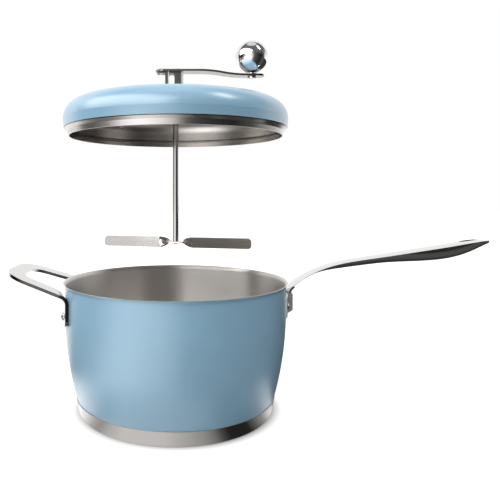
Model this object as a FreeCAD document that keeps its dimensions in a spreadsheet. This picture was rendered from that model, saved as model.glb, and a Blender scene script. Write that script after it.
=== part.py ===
"""Stovetop popcorn popper: a saucepan, and a lid that carries a crank and a stirrer.

Millimetres. The origin is the centre of the base's underside, +Z is up and +X runs along the long handle.
Pieces of the lid and of the crank are drawn as they sit on the closed pot. Their placements lift them by
lid_raise, so the lid is held clear above the pot.
"""
import FreeCAD, Part
import math
import os
import Sketcher

doc = FreeCAD.newDocument("popcorn_popper")
VECTOR = FreeCAD.Vector
LEFT, RIGHT = 1, -1          # the way a curved side of an outline turns as it is followed

# ---------------------------------------------------------------- driving dimensions

SIZES = {
    # pan
    "pot_height": 123.5,             # base underside to the lip's top
    "wall_bore_radius": 107.4,       # inside of the straight wall
    "pot_sheet": 1.0,
    "lip_flare": 1.9,                # how far the lip turns outwards
    "lip_depth": 4.0,
    "straight_depth": 24.0,          # lip top to where the wall starts to draw in
    "belly_inset": 11.7,             # how far the wall draws in down to the base cap
    "band_height": 14.0,             # base underside to the cap's upper edge
    "core_thickness": 4.2,
    "cap_sheet": 0.7,
    "cap_lean": 1.7,                 # how far the cap's side leans out up to the wall
    "base_edge_radius": 3.0,
    # lid
    "lid_raise": 148.7,              # how far the lid is lifted off its seat
    "lid_sheet": 0.9,
    "seat_gap": 0.3,                 # between the closed lid's ledge and the lip
    "skirt_gap": 1.2,                # between the skirt's upper end and the wall
    "skirt_length": 4.4,
    "skirt_bend_radius": 2.0,        # outside of the bend between skirt and ledge
    "skirt_taper": 0.8,
    "ledge_overhang": 0.3,
    "lid_side_height": 8.0,
    "lid_side_lean": 0.8,
    "shoulder_radius": 19.0,
    "crown_rise": 2.0,
    "crown_seat_radius": 11.0,       # flat middle of the crown, where the bush is clamped
    # bush, washers and clip on the shaft
    "shaft_radius": 2.9,
    "running_gap": 0.05,             # round a part that turns
    "fixed_gap": 0.02,               # round a part that stays
    "end_play": 0.3,                 # along the shaft and under the knob
    "bush_barrel_radius": 5.0,
    "bush_flange_radius": 8.5,
    "bush_flange_thickness": 1.5,
    "bush_stand": 0.6,               # bush above its nut
    "bush_washer_radius": 9.5,
    "bush_washer_thickness": 1.0,
    "bush_nut_width": 14.0,          # across flats
    "bush_nut_thickness": 4.5,
    "thrust_washer_radius": 6.5,
    "thrust_washer_thickness": 0.6,
    "clip_radius": 5.2,
    "clip_thickness": 0.8,
    "clip_groove_depth": 0.5,
    "clip_mouth": 4.6,
    # hub
    "hub_boss_radius": 7.0,
    "hub_boss_height": 7.6,
    "hub_bar_thickness": 3.0,        # the bar that joins the hub's two legs
    "hub_depth": 10.0,
    "hub_left": 10.4,
    "hub_right": 7.6,
    "hub_thin_leg": 3.6,
    "hub_window_width": 5.6,
    "hub_window_height": 12.3,
    "hub_web": 1.6,
    "hub_ear_length": 8.0,           # flange that the first rivet goes through
    "hub_ear_thickness": 1.4,
    "hub_pin_radius": 1.25,
    "hub_pin_height": 3.4,           # hub underside to the pin's axis
    "shaft_engagement": 6.4,         # length of shaft inside the hub
    # arm
    "arm_thickness": 2.0,
    "arm_width": 15.0,
    "arm_end_width": 12.0,
    "arm_tail": 20.0,
    "crank_radius": 76.0,
    "arm_end_overhang": 6.3,         # knob axis to where the arm's end starts to round
    "joggle_start": 24.0,
    "joggle_length": 46.0,
    "joggle_drop": 4.2,
    "arm_rivet_radius": 1.6,
    "arm_rivet_head_radius": 3.4,
    "arm_rivet_head_height": 2.2,
    "ear_rivet_place": 14.5,         # shaft axis to the rivet through the hub's ear
    "leg_rivet_place": 2.6,          # shaft axis to the rivet in the hub's thick leg
    "leg_rivet_depth": 9.0,
    # knob
    "knob_radius": 16.5,
    "knob_flat_radius": 4.5,
    "knob_screw_radius": 2.5,
    "knob_screw_depth": 18.0,        # length of screw inside the ball
    "knob_head_radius": 4.2,
    "knob_head_height": 1.5,
    "knob_washer_radius": 5.5,
    "knob_washer_thickness": 0.7,
    # stirrer
    "stirrer_floor_gap": 1.1,
    "blade_width": 10.5,
    "blade_thickness": 1.8,
    "blade_radius": 75.5,
    "blade_flat_half": 5.0,          # half length of the flat middle
    "blade_twist_length": 12.0,
    "blade_twist": 78.0,             # degrees, so the paddles lean a little
    "blade_corner": 3.5,
    "blade_azimuth": 14.0,
    "blade_rivet_radius": 1.5,
    "blade_rivet_depth": 6.0,
    "blade_rivet_head_radius": 3.2,
    "blade_rivet_head_height": 1.4,
    # helper handle
    "helper_thickness": 3.0,
    "helper_slope": 18.8,            # degrees above level
    "helper_root_drop": 6.1,         # lip top to the loop's mid plane over the wall
    "helper_reach": 55.4,            # wall to the loop's outer end, along the slope
    "seat_allowance": 0.1,           # between a flat rivet head and the curved wall
    "helper_half_width": 40.5,
    "helper_end_radius": 30.0,
    "helper_bridge": 15.0,           # width of the loop's end
    "helper_window_half": 23.5,
    "helper_window_radius": 15.0,
    "helper_bend_radius": 10.0,      # mid plane of the bend between loop and tab
    "helper_lap": 1.0,               # how far the loop's plate reaches into the bend
    "helper_leg_azimuth": 21.5,
    "helper_tab_width": 21.0,
    "helper_tab_drop": 36.5,         # lip top to the tab's lower end
    "helper_tab_corner": 6.0,
    "helper_rivet_drop": 27.6,
    "helper_rivet_radius": 2.5,
    "helper_rivet_head_radius": 3.7,
    "helper_rivet_head_height": 2.0,
    # long handle, drops and rises from the lip's top
    "neck_stand": 2.6,               # wall to the neck's inner face
    "neck_foot_drop": 26.0,
    "neck_thickness": 2.4,
    "neck_width": 20.0,
    "neck_bend_drop": 12.7,          # where the neck leaves the upright
    "neck_bend_radius": 9.0,
    "neck_slope": 37.0,
    "neck_lap": 1.6,                 # how far the neck's strap reaches into the grip
    # sections of the grip: step from the one before, the first from the wall, rise of the crisp edge,
    # width, crown above the edge and depth below it
    "root_step": 7.2,
    "root_rise": -4.9,
    "root_width": 21.0,
    "root_crown": 0.4,
    "root_depth": 3.4,
    "collar_step": 21.8,
    "collar_rise": 8.6,
    "collar_width": 21.2,
    "collar_crown": 0.7,
    "collar_depth": 2.9,
    "arch_step": 22.6,
    "arch_rise": 16.4,
    "arch_width": 22.2,
    "arch_crown": 1.0,
    "arch_depth": 5.4,
    "throat_step": 24.0,
    "throat_rise": 20.9,
    "throat_width": 23.8,
    "throat_crown": 1.2,
    "throat_depth": 6.6,
    "heel_step": 24.0,
    "heel_rise": 24.4,
    "heel_width": 25.0,
    "heel_crown": 1.4,
    "heel_depth": 7.4,
    "belly_step": 24.0,
    "belly_rise": 28.2,
    "belly_width": 25.8,
    "belly_crown": 1.5,
    "belly_depth": 10.0,
    "palm_step": 24.0,
    "palm_rise": 31.9,
    "palm_width": 26.0,
    "palm_crown": 1.5,
    "palm_depth": 12.4,
    "rest_step": 22.0,
    "rest_rise": 35.6,
    "rest_width": 26.0,
    "rest_crown": 1.4,
    "rest_depth": 12.6,
    "fall_step": 18.0,
    "fall_rise": 38.6,
    "fall_width": 25.6,
    "fall_crown": 1.0,
    "fall_depth": 9.2,
    "tip_step": 15.4,
    "tip_rise": 39.4,
    "tip_width": 24.0,
    "tip_crown": 0.4,
    "tip_depth": 2.2,
    "grip_trim": 0.9,                # last section to the handle's end
    "grip_nose_radius": 9.0,
    "grip_end_half": 10.4,           # half width that the nose's sides run out to
    "grip_taper_length": 60.0,
    "slot_width": 7.0,
    "slot_length": 18.0,
    "slot_inset": 9.0,               # handle's end to the slot
    # bracket
    "bracket_sheet": 1.5,
    "bracket_half_angle": 19.0,
    "bracket_top_drop": 12.0,
    "bracket_height": 19.0,
    "bracket_chin": 3.0,             # how far the channel's lower edge rises outwards
    "neck_gap": 0.1,                 # between the neck's sides and the channel
    "bracket_rivet_azimuth": 13.5,
    "bracket_rivet_radius": 2.0,
    "bracket_rivet_head_radius": 3.2,
    "bracket_rivet_head_height": 1.6,
    "handle_pin_radius": 1.5,
}


class Dim:
    """A number that also holds the sheet expression that gives it."""

    def __init__(self, value, text):
        self.value = float(value)
        self.text = text

    def __add__(self, other):
        other = dim(other)
        return Dim(self.value + other.value, f"({self.text} + {other.text})")

    def __sub__(self, other):
        other = dim(other)
        return Dim(self.value - other.value, f"({self.text} - {other.text})")

    def __mul__(self, other):
        other = dim(other)
        return Dim(self.value * other.value, f"({self.text} * {other.text})")

    def __truediv__(self, other):
        other = dim(other)
        return Dim(self.value / other.value, f"({self.text} / {other.text})")

    def __neg__(self):
        return Dim(-self.value, f"(-1 * {self.text})")

    def __radd__(self, other):
        return dim(other) + self

    def __rsub__(self, other):
        return dim(other) - self

    def __rmul__(self, other):
        return dim(other) * self

    def __rtruediv__(self, other):
        return dim(other) / self


def dim(number):
    return number if isinstance(number, Dim) else Dim(number, repr(number))


def root(number):
    return Dim(math.sqrt(number.value), f"sqrt({number.text})")


def sine(degrees):
    return Dim(math.sin(math.radians(degrees.value)), f"sin({degrees.text})")


def cosine(degrees):
    return Dim(math.cos(math.radians(degrees.value)), f"cos({degrees.text})")


def tangent(degrees):
    return Dim(math.tan(math.radians(degrees.value)), f"tan({degrees.text})")


def arctangent(ratio):
    return Dim(math.degrees(math.atan(ratio.value)), f"atan({ratio.text})")


def fill_sheet():
    """Put the driving dimensions into the sheet, and hand them back as Dims by name."""
    sheet = doc.addObject("Spreadsheet::Sheet", "Sizes")
    named = {}
    for row, (name, value) in enumerate(SIZES.items(), start=1):
        sheet.set(f"A{row}", name)
        sheet.set(f"B{row}", str(value))
        sheet.setAlias(f"B{row}", name)
        named[name] = Dim(value, f"Sizes.{name}")
    doc.recompute()
    return named


class Named:
    """Gives the driving dimensions as attributes, or by name in brackets."""

    def __init__(self, entries):
        self.__dict__.update(entries)

    def __getitem__(self, name):
        return self.__dict__[name]


S = Named(fill_sheet())

# ---------------------------------------------------------------- tools for sketches and features


def bind(thing, prop, number):
    """Set a property and tie it to the sheet."""
    number = dim(number)
    if "." not in prop:
        setattr(thing, prop, number.value)
    thing.setExpression(prop, number.text)


def new_body(label):
    body = doc.addObject("PartDesign::Body", label)
    body.Label = label
    return body


def origin_plane(body, role):
    return next(feature for feature in body.Origin.OriginFeatures if feature.Role == role)


def new_sketch(body, role, offset=None):
    """A sketch on one of the body's origin planes, moved along that plane's normal by offset."""
    sketch = body.newObject("Sketcher::SketchObject", f"{body.Name}_sketch")
    sketch.AttachmentSupport = [(origin_plane(body, role), "")]
    sketch.MapMode = "FlatFace"
    if offset is not None:
        bind(sketch, "AttachmentOffset.Base.z", offset)
    return sketch


def fix_point(sketch, element, end, place):
    """Tie a sketch point's two coordinates to the sheet."""
    for kind, axis, amount in zip(("DistanceX", "DistanceY"), (-2, -1), place):
        if amount.value == 0 and amount.text == "0":
            sketch.addConstraint(Sketcher.Constraint("PointOnObject", element, end, axis))
            continue
        number = sketch.addConstraint(Sketcher.Constraint(kind, -1, 1, element, end, amount.value))
        sketch.setExpression(f"Constraints[{number}]", amount.text)


def arc_about(centre, start, end, turn):
    """The arc from start to end about centre; sketch arcs always run anticlockwise."""
    first, last = (start, end) if turn == LEFT else (end, start)
    radius = (start - centre).Length
    angles = [math.atan2(p.y - centre.y, p.x - centre.x) for p in (first, last)]
    return Part.ArcOfCircle(Part.Circle(centre, VECTOR(0, 0, 1), radius), angles[0], angles[1])


def turn_sketch(sketch, axis, degrees):
    """Turn a sketch in its attachment about one of its own axes."""
    sketch.AttachmentOffset = FreeCAD.Placement(sketch.AttachmentOffset.Base, FreeCAD.Rotation(axis, 1))
    bind(sketch, "AttachmentOffset.Rotation.Angle", degrees)


def outline(sketch, points, arcs=None, rounds=None):
    """Draw a closed outline and tie every size in it to the sheet.

    arcs: side number -> (LEFT or RIGHT, radius). Side n runs from point n to the next one.
    rounds: point number -> radius of the arc that rounds that corner between two straight sides.
    """
    arcs = arcs or {}
    rounds = rounds or {}
    points = [(dim(x), dim(y)) for x, y in points]
    count = len(points)
    flat = [VECTOR(x.value, y.value, 0) for x, y in points]
    starts, ends, corner_arcs = list(flat), flat[1:] + flat[:1], {}
    for number, radius in rounds.items():
        here, before, after = flat[number], flat[number - 1], flat[(number + 1) % count]
        inward, outward = (here - before).normalize(), (after - here).normalize()
        turn = LEFT if inward.cross(outward).z > 0 else RIGHT
        reach = dim(radius).value * math.tan(inward.getAngle(outward) / 2)
        starts[number], ends[number - 1] = here + outward * reach, here - inward * reach
        sideways = VECTOR(-inward.y, inward.x, 0) * turn
        centre = ends[number - 1] + sideways * dim(radius).value
        corner_arcs[number] = (turn, arc_about(centre, ends[number - 1], starts[number], turn))
    sides = []
    for number, (start, end) in enumerate(zip(starts, ends)):
        if number in arcs:
            turn, radius = arcs[number]
            chord = end - start
            height = math.sqrt(max(dim(radius).value ** 2 - chord.Length ** 2 / 4, 0))
            sideways = VECTOR(-chord.y, chord.x, 0).normalize() * turn
            shape = arc_about((start + end) / 2 + sideways * height, start, end, turn)
        else:
            turn, shape = LEFT, Part.LineSegment(start, end)
        first, last = (1, 2) if turn == LEFT else (2, 1)
        sides.append((sketch.addGeometry(shape, False), first, last))
    for number in range(count):
        element, first, _ = sides[number]
        previous, _, last = sides[number - 1]
        if number in corner_arcs:
            turn, shape = corner_arcs[number]
            arc = sketch.addGeometry(shape, False)
            arc_first, arc_last = (1, 2) if turn == LEFT else (2, 1)
            corner = sketch.addGeometry(Part.Point(flat[number]), True)
            sketch.addConstraint(Sketcher.Constraint("Tangent", previous, last, arc, arc_first))
            sketch.addConstraint(Sketcher.Constraint("Tangent", arc, arc_last, element, first))
            sketch.addConstraint(Sketcher.Constraint("PointOnObject", corner, 1, previous))
            sketch.addConstraint(Sketcher.Constraint("PointOnObject", corner, 1, element))
            fix_point(sketch, corner, 1, points[number])
            fix_radius(sketch, arc, dim(rounds[number]))
        else:
            sketch.addConstraint(Sketcher.Constraint("Coincident", previous, last, element, first))
            fix_point(sketch, element, first, points[number])
        if number in arcs:
            fix_radius(sketch, element, dim(arcs[number][1]))


def fix_radius(sketch, element, radius):
    number = sketch.addConstraint(Sketcher.Constraint("Radius", element, radius.value))
    sketch.setExpression(f"Constraints[{number}]", radius.text)


def circle(sketch, x, y, radius):
    x, y, radius = dim(x), dim(y), dim(radius)
    shape = Part.Circle(VECTOR(x.value, y.value, 0), VECTOR(0, 0, 1), radius.value)
    element = sketch.addGeometry(shape, False)
    fix_point(sketch, element, 3, (x, y))
    fix_radius(sketch, element, radius)


def revolve(body, points, arcs=None, rounds=None, axis="V_Axis", angle=None):
    """Turn a profile, drawn as radius and height, about the sketch's vertical or level axis."""
    sketch = new_sketch(body, "XZ_Plane")
    outline(sketch, points, arcs, rounds)
    turned = body.newObject("PartDesign::Revolution", f"{body.Name}_turned")
    turned.Profile = sketch
    turned.ReferenceAxis = (sketch, [axis])
    if angle is None:
        turned.Angle = 360
    else:
        turned.Midplane = True
        bind(turned, "Angle", angle)
    return turned


def pad(body, role, length, draw, offset=None, midplane=False):
    """Raise the sketch that draw makes from an origin plane, by length."""
    sketch = new_sketch(body, role, offset)
    draw(sketch)
    raised = body.newObject("PartDesign::Pad", f"{body.Name}_pad")
    raised.Profile = sketch
    raised.Midplane = midplane
    bind(raised, "Length", length)
    return raised


def pocket(body, role, length, draw):
    """Cut the sketch that draw makes, to both sides of an origin plane."""
    sketch = new_sketch(body, role)
    draw(sketch)
    cut = body.newObject("PartDesign::Pocket", f"{body.Name}_pocket")
    cut.Profile = sketch
    cut.Midplane = True
    bind(cut, "Length", length)
    return cut


def drill(body, radius, depth, place, role="XY_Plane", azimuth=None):
    """Cut a round hole that starts at place, given in the axes of the origin plane, along its normal."""
    hole = body.newObject("PartDesign::SubtractiveCylinder", f"{body.Name}_hole")
    hole.AttachmentSupport = [(origin_plane(body, role), "")]
    hole.MapMode = "FlatFace"
    for axis, amount in zip("xyz", place):
        bind(hole, f"AttachmentOffset.Base.{axis}", amount)
    if azimuth is not None:
        hole.AttachmentOffset = FreeCAD.Placement(hole.AttachmentOffset.Base,
                                                  FreeCAD.Rotation(VECTOR(0, 1, 0), 1))
        bind(hole, "AttachmentOffset.Rotation.Angle", azimuth)
    bind(hole, "Radius", radius)
    bind(hole, "Height", depth)
    return hole


def radial_drill(body, radius, height, azimuth, reach):
    """Cut a level hole from the axis outwards, at a height and an azimuth."""
    return drill(body, radius, reach, (dim(0), height, dim(0)), "YZ_Plane", azimuth)


def mirrored_pair(label, source):
    """The source and its mirror image across the plane of the long handle, as separate solids."""
    mirror = doc.addObject("Part::Mirroring", f"{label}_mirror")
    mirror.Source = source
    mirror.Normal = VECTOR(0, 1, 0)
    pair = doc.addObject("Part::Compound", label)
    pair.Label = label
    pair.Links = [source, mirror]
    return pair


def boolean(kind, label, shapes):
    """Part::Cut of two shapes, or Part::MultiFuse or Part::MultiCommon of several."""
    result = doc.addObject(kind, label)
    result.Label = label
    if kind == "Part::Cut":
        result.Base, result.Tool = shapes
    else:
        result.Shapes = shapes
    return result


def lift(piece):
    """Hold a piece of the lid or the crank clear above the pot."""
    bind(piece, "Placement.Base.z", S.lid_raise)
    return piece


def plane_disc(label, inner, outer, bottom, thickness):
    """A flat washer on the vertical axis."""
    body = new_body(label)
    top = bottom + thickness
    revolve(body, [(inner, bottom), (outer, bottom), (outer, top), (inner, top)])
    return body


# ---------------------------------------------------------------- shared places

WALL_RADIUS = S.wall_bore_radius + S.pot_sheet
LIP_BORE = S.wall_bore_radius + S.lip_flare
SHELL_BOTTOM = S.cap_sheet + S.core_thickness
FLOOR_TOP = SHELL_BOTTOM + S.pot_sheet
FOOT_RADIUS = WALL_RADIUS - S.belly_inset
BASE_RADIUS = FOOT_RADIUS - S.cap_lean

# the belly leaves the straight wall smoothly and meets the base cap at the foot
BELLY_TOP = S.pot_height - S.straight_depth
BELLY_DROP = BELLY_TOP - S.band_height
BELLY_RADIUS = (BELLY_DROP * BELLY_DROP + S.belly_inset * S.belly_inset) / (2 * S.belly_inset)
FOOT_SINE = BELLY_DROP / BELLY_RADIUS
FOOT_COSINE = (BELLY_RADIUS - S.belly_inset) / BELLY_RADIUS
# the corner between belly and floor is tangent to both
CORNER_RADIUS = (S.band_height - SHELL_BOTTOM) / (1 - FOOT_SINE)
CORNER_CENTRE = FOOT_RADIUS - CORNER_RADIUS * FOOT_COSINE

# the closed lid's 45 degree ledge lies seat_gap off the lip's inner edge
SEAT_HEIGHT = S.pot_height + S.seat_gap * math.sqrt(2)
LEDGE_INNER = S.wall_bore_radius - S.skirt_gap
LEDGE_OUTER = LIP_BORE + S.ledge_overhang
LEDGE_BOTTOM = SEAT_HEIGHT - (LIP_BORE - LEDGE_INNER)
LEDGE_TOP = SEAT_HEIGHT + S.ledge_overhang
SHOULDER_START = LEDGE_TOP + S.lid_side_height
LID_SIDE_RADIUS = LEDGE_OUTER + S.lid_side_lean
CROWN_EDGE = LID_SIDE_RADIUS - S.shoulder_radius
SHOULDER_TOP = SHOULDER_START + S.shoulder_radius
CROWN_TOP = SHOULDER_TOP + S.crown_rise
CROWN_SPAN = CROWN_EDGE - S.crown_seat_radius
CROWN_RADIUS = (CROWN_SPAN * CROWN_SPAN + S.crown_rise * S.crown_rise) / (2 * S.crown_rise)
CROWN_INSIDE = CROWN_TOP - S.lid_sheet

# what is stacked on the shaft above and below the crown
NUT_BOTTOM = CROWN_TOP + S.bush_washer_thickness
BUSH_TOP = NUT_BOTTOM + S.bush_nut_thickness + S.bush_stand
BUSH_BOTTOM = CROWN_INSIDE - S.bush_flange_thickness
BUSH_BORE = S.shaft_radius + S.running_gap
CLIP_TOP = BUSH_BOTTOM - S.end_play
THRUST_BOTTOM = BUSH_TOP + S.end_play
HUB_BOTTOM = THRUST_BOTTOM + S.thrust_washer_thickness
HUB_SPRING = HUB_BOTTOM + S.hub_boss_height
HUB_TOP = HUB_SPRING + S.hub_window_height + S.hub_web
ARM_TOP = HUB_TOP + S.arm_thickness
ARM_END_TOP = ARM_TOP - S.joggle_drop
SHAFT_TOP = HUB_BOTTOM + S.shaft_engagement
PIN_AXIS = HUB_BOTTOM + S.hub_pin_height
# place and depth below the arm of the two rivets that hold it on the hub
ARM_RIVETS = ((-S.ear_rivet_place, S.hub_ear_thickness), (S.leg_rivet_place, S.leg_rivet_depth))

# the blade's edge runs just over the pan's floor when the lid is seated
BLADE_MIDDLE = FLOOR_TOP + S.stirrer_floor_gap + S.blade_width / 2
BLADE_TOP = BLADE_MIDDLE + S.blade_thickness / 2
BLADE_BOTTOM = BLADE_MIDDLE - S.blade_thickness / 2

KNOB_BOTTOM = ARM_END_TOP + S.knob_washer_thickness + S.end_play
KNOB_CENTRE = KNOB_BOTTOM + S.knob_radius
KNOB_HEAD_TOP = ARM_END_TOP - S.arm_thickness - S.end_play

# ---------------------------------------------------------------- pan


def pot_shell():
    """The drawn pan: flat floor, rounded corner, drawn-in belly, straight wall and flared lip."""
    body = new_body("pot_shell")
    inner_corner = CORNER_RADIUS - S.pot_sheet
    lip_start = S.pot_height - S.lip_depth
    lip_radius = (S.lip_depth * S.lip_depth + S.lip_flare * S.lip_flare) / (2 * S.lip_flare)
    points = [
        (dim(0), SHELL_BOTTOM),
        (CORNER_CENTRE, SHELL_BOTTOM),
        (FOOT_RADIUS, S.band_height),
        (WALL_RADIUS, BELLY_TOP),
        (WALL_RADIUS, lip_start),
        (WALL_RADIUS + S.lip_flare, S.pot_height),
        (LIP_BORE, S.pot_height),
        (S.wall_bore_radius, lip_start),
        (S.wall_bore_radius, BELLY_TOP),
        (FOOT_RADIUS - S.pot_sheet * FOOT_COSINE, S.band_height + S.pot_sheet * FOOT_SINE),
        (CORNER_CENTRE, FLOOR_TOP),
        (dim(0), FLOOR_TOP),
    ]
    arcs = {
        1: (LEFT, CORNER_RADIUS),
        2: (LEFT, BELLY_RADIUS),
        4: (RIGHT, lip_radius),
        6: (LEFT, lip_radius),
        8: (RIGHT, BELLY_RADIUS - S.pot_sheet),
        9: (RIGHT, inner_corner),
    }
    revolve(body, points, arcs)
    helper = S.helper_rivet_radius + S.fixed_gap
    bracket = S.bracket_rivet_radius + S.fixed_gap
    reach = WALL_RADIUS + S.pot_sheet
    for side in (LEFT, RIGHT):
        radial_drill(body, helper, HELPER_RIVET_HEIGHT, 180 + side * S.helper_leg_azimuth, reach)
        radial_drill(body, bracket, BRACKET_MIDDLE, side * S.bracket_rivet_azimuth, reach)
    return body


def base_core():
    """The aluminium slab that fills the space between the pan's floor and the steel cap."""
    body = new_body("base_core")
    edge = S.base_edge_radius - S.cap_sheet
    side = BASE_RADIUS - S.cap_sheet
    points = [
        (dim(0), S.cap_sheet),
        (side - edge, S.cap_sheet),
        (side, S.base_edge_radius),
        (FOOT_RADIUS, S.band_height),
        (CORNER_CENTRE, SHELL_BOTTOM),
        (dim(0), SHELL_BOTTOM),
    ]
    revolve(body, points, {1: (LEFT, edge), 3: (RIGHT, CORNER_RADIUS)})
    return body


def base_cap():
    """The steel cap that closes the base and wraps up to the painted wall."""
    body = new_body("base_cap")
    inner_edge = S.base_edge_radius - S.cap_sheet
    side = BASE_RADIUS - S.cap_sheet
    points = [
        (dim(0), dim(0)),
        (BASE_RADIUS - S.base_edge_radius, dim(0)),
        (BASE_RADIUS, S.base_edge_radius),
        (FOOT_RADIUS + S.cap_sheet, S.band_height),
        (FOOT_RADIUS, S.band_height),
        (side, S.base_edge_radius),
        (side - inner_edge, S.cap_sheet),
        (dim(0), S.cap_sheet),
    ]
    revolve(body, points, {1: (LEFT, S.base_edge_radius), 5: (RIGHT, inner_edge)})
    return body


def rivet(label, shank_radius, head_radius, head_height, seat, inner_seat, height, azimuth):
    """A level rivet with a domed head outside and a flatter one inside the pan."""
    body = new_body(label)
    dome = (head_radius * head_radius + head_height * head_height) / (2 * head_height)
    points = [
        (inner_seat - head_height / 2, dim(0)),
        (seat + head_height, dim(0)),
        (seat, head_radius),
        (seat, shank_radius),
        (inner_seat, shank_radius),
        (inner_seat, head_radius),
        (inner_seat - head_height / 2, head_radius - head_height / 2),
    ]
    revolve(body, points, {1: (LEFT, dome)}, axis="H_Axis")
    bind(body, "Placement.Base.z", height)
    body.Placement = FreeCAD.Placement(body.Placement.Base, FreeCAD.Rotation(VECTOR(0, 0, 1), 1))
    bind(body, "Placement.Rotation.Angle", azimuth)
    return body


# ---------------------------------------------------------------- helper handle

HELPER_RIVET_HEIGHT = S.pot_height - S.helper_rivet_drop
HELPER_ROOT_HEIGHT = S.pot_height - S.helper_root_drop
HELPER_MID_RADIUS = WALL_RADIUS + S.helper_thickness / 2


def helper_bend_end():
    """Radius and height where the bend of a leg runs into the loop's plane, and the loop's pitch there."""
    pitch = arctangent(tangent(S.helper_slope) * cosine(S.helper_leg_azimuth))
    radius = HELPER_MID_RADIUS + S.helper_bend_radius * (1 - sine(pitch))
    along = radius * cosine(S.helper_leg_azimuth) - WALL_RADIUS
    height = HELPER_ROOT_HEIGHT + along * tangent(S.helper_slope)
    return radius, height, pitch


def helper_leg():
    """One tab on the wall with the bend that turns it into the loop's plane."""
    azimuth = math.radians(180 + S.helper_leg_azimuth.value)
    outwards = VECTOR(math.cos(azimuth), math.sin(azimuth), 0)
    sideways = VECTOR(-math.sin(azimuth), math.cos(azimuth), 0)
    _, height, pitch = helper_bend_end()
    turn = math.radians(90 - pitch.value)
    bend = S.helper_bend_radius.value
    bend_height = height.value - bend * math.sin(turn)
    fall = math.tan(math.radians(S.helper_slope.value)) * sideways.x
    half_width, half_sheet = S.helper_tab_width.value / 2, S.helper_thickness.value / 2

    def section(distance, level, angle, tilt):
        across = (sideways - VECTOR(0, 0, tilt)).normalize()
        through = (VECTOR(0, 0, math.sin(angle)) - outwards * math.cos(angle))
        through = (through - across * through.dot(across)).normalize()
        middle = outwards * distance + VECTOR(0, 0, level)
        corners = [middle + across * (half_width * a) + through * (half_sheet * b)
                   for a, b in ((-1, -1), (1, -1), (1, 1), (-1, 1))]
        return Part.makePolygon(corners + corners[:1])

    foot = S.pot_height.value - S.helper_tab_drop.value
    mid = HELPER_MID_RADIUS.value
    tab = Part.makeLoft([section(mid, foot, 0, 0), section(mid, bend_height, 0, 0)], True, True)
    steps = 6
    sections = []
    for step in range(steps + 1):
        angle = turn * step / steps
        distance = mid + bend * (1 - math.cos(angle))
        sections.append(section(distance, bend_height + bend * math.sin(angle), angle, fall * step / steps))
    corners = [edge for edge in tab.Edges
               if all(abs(v.Z - foot) < 0.001 for v in edge.Vertexes) and edge.Length < half_width]
    tab = tab.makeFillet(S.helper_tab_corner.value, corners)
    leg = doc.addObject("Part::Feature", "helper_leg")
    leg.Shape = tab.fuse(Part.makeLoft(sections, True, False)).removeSplitter()
    return leg


def helper_loop():
    """The flat loop, drawn about its tilt axis over the wall and tilted up outwards."""
    body = new_body("helper_loop")
    slope = S.helper_slope
    root_radius = helper_bend_end()[0] - S.helper_lap
    half = S.helper_tab_width / 2
    azimuth = S.helper_leg_azimuth
    root = [((root_radius * cosine(azimuth) - way * half * sine(azimuth) - WALL_RADIUS) / cosine(slope),
             root_radius * sine(azimuth) + way * half * cosine(azimuth)) for way in (1, -1)]
    (outer_x, outer_y), (inner_x, inner_y) = root
    window = S.helper_reach - S.helper_bridge
    points = [
        (-outer_x, -outer_y),
        (-inner_x, -inner_y),
        (-window, -S.helper_window_half),
        (-window, S.helper_window_half),
        (-inner_x, inner_y),
        (-outer_x, outer_y),
        (-S.helper_reach, S.helper_half_width),
        (-S.helper_reach, -S.helper_half_width),
    ]
    rounds = {2: S.helper_window_radius, 3: S.helper_window_radius,
              6: S.helper_end_radius, 7: S.helper_end_radius}
    pad(body, "XY_Plane", S.helper_thickness,
        lambda sketch: outline(sketch, points, rounds=rounds), midplane=True)
    body.Placement = FreeCAD.Placement(VECTOR(0, 0, 0), FreeCAD.Rotation(VECTOR(0, 1, 0), 1))
    bind(body, "Placement.Base.x", -WALL_RADIUS)
    bind(body, "Placement.Base.z", HELPER_ROOT_HEIGHT)
    bind(body, "Placement.Rotation.Angle", slope)
    return body


def radial_rod(label, radius, height, azimuth, reach):
    """A level rod from the axis outwards, used to drill holes."""
    rod = doc.addObject("Part::Cylinder", label)
    bind(rod, "Radius", radius)
    bind(rod, "Height", reach)
    angle = math.radians(azimuth.value)
    rod.Placement = FreeCAD.Placement(VECTOR(0, 0, height.value),
                                      FreeCAD.Rotation(VECTOR(0, 0, 1), VECTOR(math.cos(angle), math.sin(angle), 0)))
    return rod


def helper_handle():
    """The loop handle opposite the long one: a flat loop on two legs bent down to tabs."""
    near = helper_leg()
    far = doc.addObject("Part::Mirroring", "helper_leg_mirror")
    far.Source = near
    far.Normal = VECTOR(0, 1, 0)
    solid = boolean("Part::MultiFuse", "helper_solid", [helper_loop(), near, far])
    reach = WALL_RADIUS + 2 * S.helper_thickness
    rods = [radial_rod("helper_rod", S.helper_rivet_radius + S.fixed_gap, HELPER_RIVET_HEIGHT,
                       180 + side * S.helper_leg_azimuth, reach) for side in (LEFT, RIGHT)]
    return boolean("Part::Cut", "helper_handle", [solid, boolean("Part::MultiFuse", "helper_rods", rods)])


def helper_rivets():
    one = rivet("helper_rivet", S.helper_rivet_radius, S.helper_rivet_head_radius, S.helper_rivet_head_height,
                WALL_RADIUS + S.helper_thickness, S.wall_bore_radius - S.seat_allowance,
                HELPER_RIVET_HEIGHT, 180 + S.helper_leg_azimuth)
    return mirrored_pair("helper_rivets", one)


# ---------------------------------------------------------------- bracket and long handle

GRIP_STATIONS = ("root", "collar", "arch", "throat", "heel", "belly", "palm", "rest", "fall", "tip")
BRACKET_TOP = S.pot_height - S.bracket_top_drop
BRACKET_BOTTOM = BRACKET_TOP - S.bracket_height
BRACKET_MIDDLE = BRACKET_TOP - S.bracket_height / 2
BRACKET_FACE = WALL_RADIUS + S.bracket_sheet


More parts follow.
